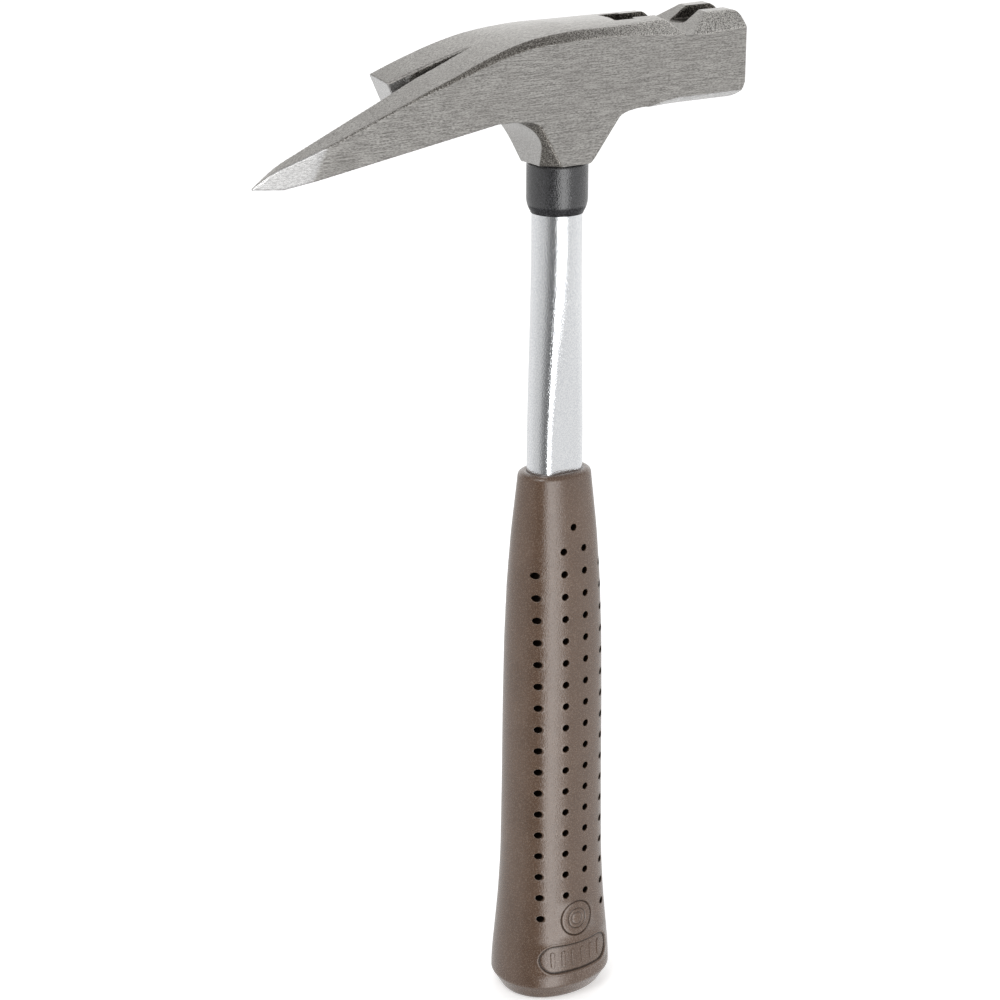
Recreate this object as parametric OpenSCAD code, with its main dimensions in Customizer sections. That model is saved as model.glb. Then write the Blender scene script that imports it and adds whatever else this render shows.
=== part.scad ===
// Roofing hammer with a tubular steel handle.
// +Z runs up the handle, +X points to the striking face, the origin is the
// middle of the butt face. All sizes are in millimetres.

/* [Head] */
// Half of the head's thickness
head_half = 12.2; // [11.5:0.1:13]
// Height of the crown above the butt
crown_z = 332; // [331:0.5:334]
// Height of the two nail ridges above the butt
ridge_z = 332.6; // [332:0.1:334]
// Height of the poll's underside above the butt
poll_z = 305; // [303:0.5:307]
// Distance from the handle's axis to the striking face
face_x = 65; // [62:0.5:68]
// Corner radius at the bottom of the striking face
face_corner = 5.5; // [4:0.5:7]
// Corner radius at the top of the striking face
brow_corner = 4; // [3:0.5:6]
// Radius of the curved back of the head
back_radius = 127; // [122:1:135]
// How far the curve of the back is turned, so that the long prong's edge falls first
back_turn = 29; // [20:1:32]
// Width of the bevel along the top edges of the poll
top_bevel = 3.4; // [2:0.2:4.4]

/* [Claw] */
// Distance from the handle's axis to the tip of the long prong
tip_x = 113.5; // [110:0.5:117]
// Distance from the handle's axis to the end of the short prong
prong_x = 61.5; // [59:0.5:63]
// Where the nail slot starts, measured from the handle's axis
slot_x = 33; // [31:0.5:36]
// Half of the nail slot's width at its mouth
slot_half = 3; // [2.6:0.1:3.4]

/* [Nail holder] */
// Depth of the nail groove below the ridges
groove_depth = 3.9; // [3.4:0.1:3.9]
// Half of the nail groove's width
groove_half = 3.1; // [2.4:0.1:3.4]
// Half of the width of the nail head's pocket
pocket_half = 4.5; // [4:0.1:5]
// Diameter of the magnet under the pocket
magnet_d = 6; // [4:0.5:6.5]
// Thickness of the magnet
magnet_t = 4; // [2:0.5:4]

/* [Neck and eye] */
// Height of the neck's lower end above the butt
neck_z = 289; // [288:0.5:290]
// Half of the neck's width at its lower end
neck_half = 10.3; // [10:0.1:10.8]
// Height of the blind end of the eye above the butt
eye_top_z = 320; // [316:1:322]
// How much the upper end of the eye widens, on the radius
eye_flare = 0.8; // [0.4:0.1:1]

/* [Handle] */
// Outer diameter of the round tube
tube_d = 16.2; // [15.6:0.1:16.8]
// Wall of the tube
tube_wall = 1.5; // [1.2:0.1:1.8]
// Height of the tube's lower end above the butt
tube_foot_z = 9; // [8:1:14]
// Diameter of the collar under the head
collar_d = 19.6; // [19:0.1:20.2]
// Height of the collar's lower lip above the butt
collar_z = 272.4; // [270:0.2:275]

/* [Grip] */
// Height of the grip's upper rim above the butt
grip_top_z = 187; // [187:1:190]
// Distance between two rows of holes
hole_pitch = 7.7; // [7.4:0.1:7.9]
// Diameter of the grip's holes
hole_d = 2.4; // [2:0.1:2.8]
// Rows of holes below the single top hole
hole_rows = 18; // [10:1:18]
// Height of the single top hole above the butt
hole_top_z = 170; // [168:0.5:172]

/* [Hidden] */
$fn = 96;
reach = 60;                 // longer than any cut needs to be
low_z = 280;                // below the whole head
tube_r = tube_d / 2;
bore_r = tube_r - tube_wall;
flare_z = neck_z + 17;      // where the eye starts to widen
groove_z = ridge_z - groove_depth;

// Nail notch and ridges, along X
notch_x = [35, 41, 43.5, 52];
notch_z = 327.2;
pocket_x = [18.5, 25.5];

// Underside of the claw: a straight line
under_slope = 0.159;
under_z0 = 310;
claw_root_z = 305;          // where the neck's fillet meets the claw
claw_root_x = -30;
prong_undercut = 9;         // how far the short prong's end slants in
// Slope of the neck's front and back faces
neck_lean = 22;
neck_fillet = 10;
neck_flush_z = 303;         // where the neck's sides meet the head's sides
neck_flat = 4.9;            // half of a flat of the eight-sided lower end
corner_lean = 31;           // lean of the neck's corner facets

// Plan of the long prong
spike_root_x = -40;
spike_point_x = -96;        // where the prong's outer side starts to run in
spike_level_x = -104;       // where its underside becomes level
spike_inner_x = -107;

// The claw's top is twisted: the curve of its back is turned, so the long
// prong's edge falls first and then runs straight down to the tip
back_x = 5;                 // where the middle of the back starts to curve down
near_slope = 0.365;         // slope of the long prong's top edge
prong_rise = 13;            // how much the long prong's top leans, in degrees
bevel_end = 70;             // where the bevels of the top edges fade out
least_bevel = 0.3;
back_axis_z = crown_z + 0.15 - back_radius;
poll_bevel_x = 12;          // where the poll's straight bevels start
EDGE_STATIONS = [-prong_x, -48, -36, -24, -12, 0, poll_bevel_x];

// Grip: radius of the end rounding against height
GRIP = [
    [8.1, 187], [9.1, 185.4], [11.0, 166], [12.3, 148], [13.1, 128], [13.5, 105],
    [13.7, 75], [14.1, 49], [15.1, 34], [16.3, 21.5], [17.3, 10.5], [17.2, 6.0], [13.3, 0]];
grip_end_x = 3.87;          // centre of the end rounding
grip_flat_y = 9.67;         // centre of the broad face's radius
grip_flat_r = 10.42;        // broad face's radius, beyond the end rounding
hole_inner_x = 3.96;
hole_outer_x = 12.63;
inner_floor_y = 7.4;          // how deep the inner holes reach, from the handle's plane
outer_floor_y = 3.4;

// Tube inside the grip: a flattened round
oval_r = 6.1;
oval_x = 3.45;
oval_top_z = 192;
round_bottom_z = 236;

function arc(x, z, r, a, b, n) =
    [for (i = [0:n]) [x + r * cos(a + (b - a) * i / n), z + r * sin(a + (b - a) * i / n)]];
function along_back(x, y) = (x - back_x) * cos(back_turn) + y * sin(back_turn);
function top_at(x, y) = min(crown_z,
    back_axis_z + sqrt(pow(back_radius, 2) - pow(min(0, along_back(x, y)), 2)));
function near_top(x) = top_at(max(x, -prong_x), -head_half) + near_slope * min(0, x + prong_x);
function far_top(x) = top_at(x, head_half);
function bevel(x) = least_bevel
    + (top_bevel - least_bevel) * (1 + cos(180 * max(0, -x) / bevel_end)) / 2;
function under(x) = under_z0 + under_slope * x;
function fillet_x(top) =
    neck_half + (neck_fillet + (top - neck_fillet - neck_z) * sin(neck_lean)) / cos(neck_lean);

// Draws an XZ outline and gives it thickness between two Y values
module slab(y0, y1) {
    translate([0, y1, 0]) rotate([90, 0, 0]) linear_extrude(y1 - y0) children();
}

// Removes all that is above a plane through the line a-b at y, which leans by lean degrees
module shave(a, b, y, lean) {
    pitch = atan((b[1] - a[1]) / (b[0] - a[0]));
    translate([a[0], y, a[1]]) rotate([0, -pitch, 0]) rotate([lean, 0, 0])
        translate([-2, -reach, 0]) cube([4 + (b[0] - a[0]) / cos(pitch), 2 * reach, reach]);
}

// What lies above the curved, turned back of the head
module above_back() {
    intersection() {
        translate([back_x, 0, 0]) rotate([0, 0, back_turn]) difference() {
            translate([-2 * reach, -reach, crown_z - 40]) cube([2 * reach, 2 * reach, reach]);
            translate([0, reach + 1, back_axis_z]) rotate([90, 0, 0])
                cylinder(r = back_radius, h = 2 * reach + 2);
        }
        translate([-prong_x - 1, -reach, crown_z - 50]) cube([2 * reach, 2 * reach, 2 * reach]);
    }
}

module side_outline() {
    prong_foot = -prong_x + prong_undercut;
    polygon(concat(
        arc(face_x - face_corner, poll_z + face_corner, face_corner, -90, 0, 6),
        arc(face_x - brow_corner, ridge_z - brow_corner, brow_corner, 0, 90, 6),
        [[notch_x[3], ridge_z], [notch_x[2], notch_z]],
        [[notch_x[1], notch_z], [notch_x[0], crown_z]],
        [[-prong_x, crown_z], [-prong_x, top_at(-prong_x, 0)]],
        [[prong_foot, under(prong_foot)], [claw_root_x, under(claw_root_x)]],
        arc(-fillet_x(claw_root_z), claw_root_z - neck_fillet, neck_fillet, 90, neck_lean, 5),
        [[-neck_half, neck_z], [neck_half, neck_z]],
        arc(fillet_x(poll_z), poll_z - neck_fillet, neck_fillet, 180 - neck_lean, 90, 5)));
}

module spike_outline() {
    polygon([
        [spike_root_x, under(spike_root_x)], [spike_level_x, under(spike_level_x)],
        [-tip_x, under(spike_level_x) + 1], [-tip_x, near_top(-tip_x) + 2],
        [spike_root_x, near_top(spike_root_x) + 4]]);
}

module spike_plan() {
    polygon([
        [spike_root_x, -head_half], [spike_point_x, -head_half],
        [-tip_x, -head_half + 2.6], [-tip_x, -head_half + 3.6],
        [spike_inner_x, -7.6], [-prong_x, -slot_half], [spike_root_x, -1]]);
}

module eye(r, top) {
    translate([0, 0, neck_z - 1]) cylinder(r = r, h = flare_z - neck_z + 1);
    translate([0, 0, flare_z]) cylinder(r1 = r, r2 = r + eye_flare, h = top - flare_z);
}

// Turns the neck's square lower end into one with eight sides
module neck_cuts() {
    flush_h = neck_flush_z - neck_z;
    for (side = [0, 180]) rotate([0, 0, side])
        intersection() {
            translate([-26, -reach, neck_z - 1]) cube([52, reach, flush_h + 1]);
            translate([0, -neck_half, neck_z]) rotate([atan((head_half - neck_half) / flush_h), 0, 0])
                translate([-reach, -reach, -reach]) cube([2 * reach, reach, 2 * reach]);
        }
    for (turn = [45, 135, 225, 315])
        intersection() {
            translate([-25, -25, neck_z - 1]) cube([50, 50, claw_root_z - neck_z + 1]);
            translate([0, 0, neck_z]) rotate([0, 0, turn])
                translate([(neck_half + neck_flat) / sqrt(2), 0, 0]) rotate([0, corner_lean, 0])
                translate([0, -reach, -reach]) cube([reach, 2 * reach, 2 * reach]);
        }
}

module nail_holder() {
    translate([pocket_x[0], -pocket_half, groove_z])
        cube([pocket_x[1] - pocket_x[0], 2 * pocket_half, 10]);
    translate([pocket_x[0] + 1, -groove_half, groove_z])
        cube([face_x - pocket_x[0] + 5, 2 * groove_half, 10]);
    translate([(pocket_x[0] + pocket_x[1]) / 2, 0, groove_z - magnet_t])
        cylinder(d = magnet_d, h = magnet_t + 1);
}

// Tapered slot between the prongs
module nail_slot() {
    root_half = 0.3;
    mouth_half = slot_half + root_half;
    mouth_x = -prong_x - 4;
    translate([0, 0, low_z]) linear_extrude(reach)
        polygon([[-slot_x, -root_half], [-slot_x, root_half],
            [mouth_x, mouth_half], [mouth_x, -mouth_half]]);
}

module head() {
    color([0.62, 0.62, 0.60]) difference() {
        union() {
            slab(-head_half, head_half) side_outline();
            intersection() {
                slab(-head_half, 0) spike_outline();
                translate([0, 0, low_z]) linear_extrude(reach) spike_plan();
            }
        }
        nail_slot();
        above_back();
        shave([-tip_x - 4, near_top(-tip_x - 4)], [-prong_x, near_top(-prong_x)], -head_half, prong_rise);
        // bevels of the claw's and the poll's top edges
        for (i = [0:len(EDGE_STATIONS) - 2]) {
            a = EDGE_STATIONS[i];
            b = EDGE_STATIONS[i + 1];
            shave([a, near_top(a) - bevel(a)], [b, near_top(b) - bevel(b)], -head_half, 45);
            shave([a, far_top(a) - bevel(a)], [b, far_top(b) - bevel(b)], head_half, -45);
        }
        for (side = [-1, 1])
            shave([poll_bevel_x, crown_z - top_bevel], [face_x, crown_z - top_bevel],
                side * head_half, -side * 45);
        nail_holder();
        neck_cuts();
        eye(tube_r, eye_top_z);
    }
}

module nail_magnet() {
    color([0.35, 0.35, 0.37])
        translate([(pocket_x[0] + pocket_x[1]) / 2, 0, groove_z - magnet_t])
            cylinder(d = magnet_d, h = magnet_t);
}

module eye_wedge() {
    wedge_z = flare_z + 1;
    slope = eye_flare / (eye_top_z - flare_z);
    color([0.5, 0.5, 0.52]) translate([0, 0, wedge_z])
        cylinder(r1 = bore_r + slope, r2 = bore_r + eye_flare, h = eye_top_z - wedge_z);
}

module oval(grow) {
    for (x = [-oval_x, oval_x]) translate([x, 0]) circle(r = oval_r + grow);
    translate([-oval_x, -oval_r - grow]) square([2 * oval_x, 2 * (oval_r + grow)]);
}

module tube_blend(grow) {
    hull() {
        translate([0, 0, round_bottom_z - 0.01]) cylinder(r = tube_r + grow, h = 0.01, $fn = 48);
        translate([0, 0, oval_top_z]) linear_extrude(0.01)
            for (x = [-oval_x, oval_x]) translate([x, 0]) circle(r = oval_r + grow, $fn = 48);
    }
}

module handle_tube() {
    color([0.82, 0.83, 0.85]) {
        difference() {
            union() {
                translate([0, 0, round_bottom_z]) cylinder(r = tube_r, h = neck_z - round_bottom_z);
                eye(tube_r, eye_top_z);
            }
            translate([0, 0, round_bottom_z - 1]) cylinder(r = bore_r, h = flare_z - round_bottom_z + 1);
            translate([0, 0, flare_z])
                cylinder(r1 = bore_r, r2 = bore_r + eye_flare, h = eye_top_z - flare_z + 0.001);
        }
        difference() {
            tube_blend(0);
            tube_blend(-tube_wall);
        }
        translate([0, 0, tube_foot_z]) linear_extrude(oval_top_z - tube_foot_z)
            difference() {
                oval(0);
                oval(-tube_wall);
            }
    }
}

module collar() {
    lip_r = 8.4;
    outer = collar_d / 2;
    color([0.09, 0.09, 0.10]) rotate_extrude()
        polygon(concat(
            [[tube_r, neck_z], [tube_r, collar_z]],
            arc(outer - lip_r, neck_z - 11.8, lip_r, -35, 0, 6),
            [[outer, neck_z - 0.6], [outer - 0.5, neck_z]]));
}

module grip_turned(x, y, grow) {
    translate([x, y, 0]) rotate_extrude()
        polygon(concat([[0, 0], [0, grip_top_z]], [for (p = GRIP) [p[0] + grow, p[1]]]));
}

module hole_pair(x, row) {
    for (side_x = [-x, x])
        translate([side_x, hole_top_z - row * hole_pitch]) circle(d = hole_d);
}

module grip_holes() {
    for (side = [0, 180]) rotate([0, 0, side]) {
        slab(-30, -inner_floor_y) {
            translate([0, hole_top_z]) circle(d = hole_d);
            for (row = [1:hole_rows - 1]) hole_pair(hole_inner_x, row);
        }
        slab(-30, -outer_floor_y)
            for (row = [2:hole_rows]) hole_pair(hole_outer_x, row);
    }
}

module grip() {
    color([0.36, 0.30, 0.26]) difference() {
        intersection() {
            grip_turned(0, grip_flat_y, grip_flat_r);
            grip_turned(0, -grip_flat_y, grip_flat_r);
            grip_turned(0, 0, grip_end_x);
        }
        translate([0, 0, tube_foot_z]) linear_extrude(grip_top_z - tube_foot_z + 1) oval(0);
        grip_holes();
    }
}

module tube_stopper() {
    color([0.2, 0.2, 0.2]) translate([0, 0, tube_foot_z]) linear_extrude(12) oval(-tube_wall);
}

head();
nail_magnet();
eye_wedge();
handle_tube();
collar();
grip();
tube_stopper();
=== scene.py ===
"""Roofing hammer: the looks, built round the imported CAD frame."""

import math

import bmesh
import bpy
import numpy as np
from mathutils import Matrix, Vector


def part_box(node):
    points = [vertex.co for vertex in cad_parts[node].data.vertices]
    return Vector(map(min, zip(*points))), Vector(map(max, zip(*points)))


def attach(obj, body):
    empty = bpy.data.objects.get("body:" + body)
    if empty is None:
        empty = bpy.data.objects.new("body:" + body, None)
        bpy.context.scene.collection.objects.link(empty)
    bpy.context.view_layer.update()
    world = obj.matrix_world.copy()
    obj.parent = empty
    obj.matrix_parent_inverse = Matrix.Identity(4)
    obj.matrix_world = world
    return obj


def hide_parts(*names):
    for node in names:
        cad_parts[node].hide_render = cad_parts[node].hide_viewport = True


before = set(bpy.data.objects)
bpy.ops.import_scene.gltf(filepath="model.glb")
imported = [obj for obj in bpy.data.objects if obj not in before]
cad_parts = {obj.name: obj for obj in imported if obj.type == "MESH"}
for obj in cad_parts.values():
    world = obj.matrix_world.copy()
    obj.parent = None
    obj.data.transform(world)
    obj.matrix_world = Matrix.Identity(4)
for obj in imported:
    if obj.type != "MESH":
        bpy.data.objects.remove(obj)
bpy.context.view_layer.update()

MM = 0.001


def corners(node):
    """Lowest and highest corner of a CAD node, in millimetres."""
    return [np.array(corner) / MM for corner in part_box(node)]


# ---------------------------------------------------------------- dimensions, in millimetres

head_low, head_high = corners("head")
tube_low, tube_high = corners("handle_tube")
collar_low, collar_high = corners("collar")
grip_high = corners("grip")[1]

HALF = head_high[1]                 # half of the head's thickness
FACE_X = head_high[0]               # the striking face
TIP_X = head_low[0]                 # the long prong's tip
RIDGE_Z = head_high[2]              # top of the nail ridges
NECK_Z = head_low[2]                # lower end of the neck
CROWN_Z = RIDGE_Z - 0.6             # top of the head's back
POLL_Z = NECK_Z + 16                # underside of the poll
GROOVE_Z = RIDGE_Z - 3.9            # floor of the nail groove
TUBE_R = 8.1
EYE_TOP_Z = tube_high[2]
FLARE_Z = NECK_Z + 17               # where the eye starts to widen
EYE_FLARE = 0.8
PRONG_X = -61.5                     # end of the short prong


# ---------------------------------------------------------------- solids as distance fields

def smooth_step(value, start, end):
    """0 before start, 1 past end, and a smooth ramp between them."""
    t = np.clip((value - start) / (end - start), 0, 1)
    return t * t * (3 - 2 * t)


def both(a, b, radius=0.35):
    """Where two solids overlap, with the edge between them rounded."""
    corner = np.hypot(np.maximum(a + radius, 0), np.maximum(b + radius, 0))
    return np.minimum(np.maximum(a, b), -radius) + corner


def without(a, b, radius=0.3):
    """Solid a with solid b cut away."""
    return both(a, -b, radius)


def soft_min(a, b, width):
    """The lower of two heights, with the crease between them filled over a width."""
    blend = np.clip(0.5 + (b - a) / (2 * width), 0, 1)
    return b + (a - b) * blend - width * blend * (1 - blend)


def outline_distance(u, v, points):
    """Signed distance to a closed outline, negative inside."""
    nearest = np.full(np.broadcast(u, v).shape, np.inf)
    inside = np.zeros(nearest.shape, bool)
    for (au, av), (bu, bv) in zip(points, points[1:] + points[:1]):
        eu, ev = bu - au, bv - av
        share = np.clip(((u - au) * eu + (v - av) * ev) / (eu * eu + ev * ev), 0, 1)
        nearest = np.minimum(nearest, (u - au - share * eu) ** 2 + (v - av - share * ev) ** 2)
        if ev:
            inside ^= ((av > v) != (bv > v)) & (u < (v - av) * eu / ev + au)
    return np.where(inside, -1, 1) * np.sqrt(nearest)


def between(a, b, steps):
    """Even steps from a to b, without a itself."""
    return list(np.linspace(a, b, steps + 1))[1:]


def arc(u, v, radius, start, end, steps):
    """Points of a round stretch, with its angles in degrees."""
    angles = np.radians(np.linspace(start, end, steps + 1))
    return [(u + radius * math.cos(a), v + radius * math.sin(a)) for a in angles]


def surface_net(values, axes):
    """Vertices and quads of the zero surface of a field sampled on a grid."""
    cells = tuple(n - 1 for n in values.shape)
    total = np.zeros(cells + (3,))
    count = np.zeros(cells)
    quads = []
    inside = values < 0
    crossings = []
    for axis in range(3):
        first = [slice(None)] * 3
        last = [slice(None)] * 3
        first[axis], last[axis] = slice(0, -1), slice(1, None)
        a, b = values[tuple(first)], values[tuple(last)]
        cross = inside[tuple(first)] != inside[tuple(last)]
        share = np.where(cross, a / np.where(cross, a - b, 1), 0)
        crossings.append((cross, inside[tuple(first)]))
        others = [k for k in range(3) if k != axis]
        for d0 in (0, 1):
            for d1 in (0, 1):
                part = [slice(None)] * 3
                part[others[0]] = slice(d0, d0 + cells[others[0]])
                part[others[1]] = slice(d1, d1 + cells[others[1]])
                hit = cross[tuple(part)]
                count += hit
                offset = [None] * 3
                offset[axis] = share[tuple(part)]
                offset[others[0]], offset[others[1]] = d0, d1
                for k in range(3):
                    total[..., k] += hit * offset[k]
    active = count > 0
    ids = np.full(cells, -1)
    ids[active] = np.arange(active.sum())
    where = np.argwhere(active)
    share = total[active] / count[active][:, None]
    vertices = np.stack(
        [axes[k][where[:, k]] + share[:, k] * (axes[k][1] - axes[k][0]) for k in range(3)], 1)
    for axis in range(3):
        cross, starts_inside = crossings[axis]
        o1, o2 = (axis + 1) % 3, (axis + 2) % 3
        i, j, k = np.nonzero(cross)
        index = [i, j, k]
        inner = (index[o1] > 0) & (index[o2] > 0)
        inner &= (index[o1] < cells[o1]) & (index[o2] < cells[o2])
        index = [n[inner] for n in index]
        flip = ~starts_inside[cross][inner]
        ring = []
        for s1, s2 in ((1, 1), (0, 1), (0, 0), (1, 0)):
            cell = list(index)
            cell[o1] = index[o1] - s1
            cell[o2] = index[o2] - s2
            ring.append(ids[tuple(cell)])
        ring = np.stack(ring, 1)
        ring[flip] = ring[flip][:, ::-1]
        quads.append(ring)
    return vertices, np.concatenate(quads)


def slope_of(field, points, reach=0.05):
    """The field's gradient at each point."""
    parts = []
    for axis in range(3):
        step = np.zeros(3)
        step[axis] = reach
        parts.append((field(*(points + step).T) - field(*(points - step).T)) / (2 * reach))
    return np.stack(parts, 1)


def mesh_of_field(name, field, low, high, step, marks=None):
    """A closed mesh of where field is negative. marks gives each vertex a number for the material."""
    before, after = 2, 5            # cells added outside the box, as the crown stands a little above it
    axes = [np.arange(low[k] - before * step[k], high[k] + after * step[k], step[k]) for k in range(3)]
    grid = np.meshgrid(*axes, indexing="ij", sparse=True)
    values = field(*grid)
    vertices, quads = surface_net(values, axes)
    for _ in range(3):              # each round brings the vertices closer to the true surface
        gradient = slope_of(field, vertices)
        square = np.maximum((gradient ** 2).sum(1), 0.2)
        move = field(*vertices.T)[:, None] * gradient / square[:, None]
        vertices -= np.clip(move, -0.3, 0.3)
    piece = make_mesh(name, vertices, quads)
    normals = slope_of(field, vertices, 0.12)
    normals /= np.maximum(np.linalg.norm(normals, axis=1), 1e-6)[:, None]
    piece.data.normals_split_custom_set_from_vertices(normals.tolist())
    for key, values in (marks(*vertices.T) if marks else {}).items():
        layer = piece.data.attributes.new(key, "FLOAT", "POINT")
        layer.data.foreach_set("value", np.asarray(values, np.float32))
    return piece


def make_mesh(name, vertices, faces, smooth=True):
    """An object from vertices in millimetres."""
    mesh = bpy.data.meshes.new(name)
    mesh.from_pydata((np.asarray(vertices) * MM).tolist(), [], [list(map(int, f)) for f in faces])
    mesh.validate()
    mesh.polygons.foreach_set("use_smooth", [smooth] * len(mesh.polygons))
    piece = bpy.data.objects.new(name, mesh)
    bpy.context.scene.collection.objects.link(piece)
    return piece


# ---------------------------------------------------------------- head

BACK_RADIUS = 127
BACK_TURN = math.radians(29)        # the back's curve is turned, so the near edge falls first
BACK_X = 5                          # where the back starts to curve down
BACK_Z = CROWN_Z + 0.15 - BACK_RADIUS
CROWN_RISE = 1.0                    # how much the poll's top is crowned
CROWN_TILT = 0.05                   # and how much it leans to the near side
RIDGE_TILT = 0.08                   # how much the nail ridges lean that way
PRONG_SLOPE = 0.365                 # slope of the long prong's top edge
PRONG_EDGE_Z = 315.0                # height of that edge where the short prong ends
PRONG_LEAN = math.tan(math.radians(13))     # how much its top leans to the near side
PRONG_RISE = 0.02                   # how fast the back makes room for the long prong
PRONG_RISE_X = -44                  # and from where
TIP_TOP_Z = 294.9                   # the long prong's top at its tip
TIP_SLOPE = 0.62
UNDER_SLOPE = 0.159                 # slope of the claw's underside
UNDER_Z = NECK_Z + 21               # underside of the claw, carried on to the handle's axis
LEVEL_X = -104                      # where the underside becomes level
NECK_HALF = 10.3
NECK_LEAN = (14, 23)                # lean of the neck's faces towards the claw and the poll
NECK_FILLET = (14, 8)               # and their fillets' radii
NECK_RISE = 14                      # height over which the neck widens to the head's thickness
NECK_END = (25, 30)                 # where the neck's own shape ends on both sides of the handle
AWAY = 12                           # takes a cutting plane clear of the head
NOTCH = [(35, CROWN_Z), (41, 327.2), (43.5, 327.2), (52, RIDGE_Z)]
POCKET = (18.5, 25.5)
POCKET_HALF = 4.5
GROOVE_HALF = 3.1
SLOT_X = -33                        # the nail slot's blind end
SLOT_LENGTH = 32.5
SLOT_HALF = 3.3
FACET_X = -94.2                     # where the long prong's ground facet starts, at FACET_Z
FACET_Z = NECK_Z + 4.7
FACET_LEAN = 0.516                  # lean of the line where it starts
FACET_SLOPE = 0.13


def back_height(x, y):
    """Height of the head's back, crowned over the poll and twisted over the claw."""
    along = (x - BACK_X) * math.cos(BACK_TURN) + y * math.sin(BACK_TURN)
    back = BACK_Z + np.sqrt(BACK_RADIUS ** 2 - np.clip(along, -100, 0) ** 2)
    back = back + PRONG_RISE * np.maximum(0, PRONG_RISE_X - x) ** 2 * (1 - smooth_step(y, -2, 2))
    crown = (CROWN_RISE * (y / 10) ** 2 - CROWN_TILT * y - 0.3) * smooth_step(x, -30, 5)
    spike = PRONG_EDGE_Z + PRONG_SLOPE * (x - PRONG_X) + (y + HALF) * PRONG_LEAN
    spike = soft_min(spike, TIP_TOP_Z + TIP_SLOPE * (x - TIP_X), 0.8)
    return soft_min(np.minimum(back, CROWN_Z) - crown, spike, 3)


def bevel_width(x):
    """How wide the top bevels are: narrow at the claw, widest at the nail ridges."""
    claw = 0.25 + 1.35 * smooth_step(x, -65, -5)
    return claw + 2.1 * smooth_step(x, 10, 50) - 0.8 * smooth_step(x, 50, 65)


def top_bevel(x, y, z):
    """The slanting plane that takes the top edges off, on both sides."""
    side = np.where(y < 0, -HALF, HALF)
    edge = back_height(np.minimum(x, 20), side)
    return (np.abs(y) - HALF + z - edge + bevel_width(x)) / math.sqrt(2)


def low_bevel(x, y, z):
    """The rough bevel along the poll's lower edges."""
    width = 1.7
    cut = (np.abs(y) - HALF - (z - POLL_Z - width)) / math.sqrt(2)
    return cut - 2.4 * (1 - smooth_step(x, 14, 40)) - AWAY * (1 - smooth_step(x, 18, 25))


def neck_corner(x, y, z):
    """The four hollow facets between the neck's faces."""
    across = (np.minimum(np.abs(x), NECK_END[0] + 1) + np.abs(y)) / math.sqrt(2)
    rise = np.maximum(z - NECK_Z, 0)
    limit = 11.1 + 0.575 * rise + 2 * (np.maximum(0, rise - NECK_RISE + 0.1) / 1.8) ** 2
    cut = (across - limit) * 0.87
    cut = cut - AWAY * smooth_step(z, POLL_Z - 0.5, POLL_Z + 2)
    return cut - AWAY * smooth_step(np.abs(x), *NECK_END)


def neck_side(x, y, z):
    """The neck's two broad faces, which lean out to the head's sides."""
    lean = (HALF - NECK_HALF) / NECK_RISE
    return np.abs(y) - NECK_HALF - (z - NECK_Z) * lean - 6 * smooth_step(np.abs(x), 22, 30)


def lower_outline():
    """Seen from the side: the poll, the neck and the claw's underside, open above."""
    sky = RIDGE_Z + 40
    level_z = UNDER_Z + UNDER_SLOPE * LEVEL_X
    feet = []
    for lean, fillet in zip(NECK_LEAN, NECK_FILLET):
        rise = (POLL_Z - fillet - NECK_Z) * math.sin(math.radians(lean))
        feet.append(NECK_HALF + (fillet + rise) / math.cos(math.radians(lean)))
    return (
        arc(FACE_X - 5.5, POLL_Z + 5.5, 5.5, -90, 0, 10)
        + arc(FACE_X - 3.5, RIDGE_Z - 3.5, 3.5, 0, 75, 8)
        + [(FACE_X - 30, sky), (TIP_X - 3, sky)]
        + [(TIP_X - 0.8, level_z + 0.9), (LEVEL_X, level_z)]
        + [(-30, UNDER_Z - UNDER_SLOPE * 30)]
        + arc(-feet[0], POLL_Z - NECK_FILLET[0], NECK_FILLET[0], 90, NECK_LEAN[0], 12)
        + [(-NECK_HALF, NECK_Z), (NECK_HALF, NECK_Z)]
        + arc(feet[1], POLL_Z - NECK_FILLET[1], NECK_FILLET[1], 180 - NECK_LEAN[1], 90, 10))


def spike_plan():
    """Seen from above: what the long prong may fill, past the short prong's end."""
    return [(-40, -1), (-40, -HALF - 8), (TIP_X - 4, -HALF - 8), (TIP_X - 0.6, -8.8),
            (-107, -7.6), (PRONG_X, -SLOT_HALF + 0.3)]


def ridge_profile():
    """Seen from the side: the notch and the nail ridges, open below."""
    low, high = NECK_Z - 40, CROWN_Z + 8
    right = [(TIP_X - 40, low), (FACE_X + 20, low), (FACE_X + 20, RIDGE_Z)]
    return right + NOTCH[::-1] + [(30, high), (TIP_X - 40, high)]


def facet_run(x, z):
    """Distance past the line where the long prong's ground facet starts."""
    return FACET_X + FACET_LEAN * (z - FACET_Z) - x


def tip_facet(x, y, z):
    """The ground facet on the long prong's outer side."""
    return (-(y + HALF) + FACET_SLOPE * facet_run(x, z)) / math.hypot(1, FACET_SLOPE)


LOWER = lower_outline()
SPIKE = spike_plan()
RIDGES = ridge_profile()


def nail_holder(x, y, z):
    """The nail's groove and the magnet's pocket: what is cut away."""
    above = GROOVE_Z - z
    start, end = POCKET
    pocket = np.maximum(np.abs(x - (start + end) / 2) - (end - start) / 2, np.abs(y) - POCKET_HALF)
    groove = np.maximum(start + 1 - x, np.abs(y) - GROOVE_HALF)
    return both(np.minimum(pocket, groove), above, 0.6)


def magnet_seat(x, y, z):
    """The round hole in the pocket's floor that holds the magnet."""
    radius, depth = 3, 4
    ring = np.hypot(x - sum(POCKET) / 2, y) - radius
    return np.maximum(ring, GROOVE_Z - depth - z)


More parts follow.
